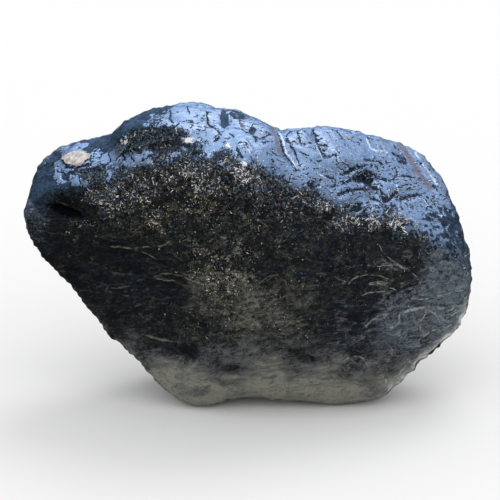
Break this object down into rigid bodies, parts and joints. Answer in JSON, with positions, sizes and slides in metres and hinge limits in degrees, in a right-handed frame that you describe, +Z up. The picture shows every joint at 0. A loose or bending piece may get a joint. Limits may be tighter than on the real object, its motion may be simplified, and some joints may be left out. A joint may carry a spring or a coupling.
{
  "type": "schorl specimen",
  "caption": "Broken lump of massive black schorl with a glossy top face, a pale quartz grain in its left knob and a brown band; stands on a small flat.",
  "frame": {"origin": "on the flat under the stone's lower edge, on which it rests", "axes": "+Z up, +X to the right along the stone's length, -Y towards the side that its broad dark face looks"},
  "size_m": [0.0641, 0.0293, 0.0419],
  "materials": {
    "schorl": "black with a blue-grey glassy gloss on top, duller and finely granular olive-black below, thin tan veins, one cream quartz grain"
  },
  "bodies": {
    "root": {"schorl": "schorl"}
  },
  "joints": []
}
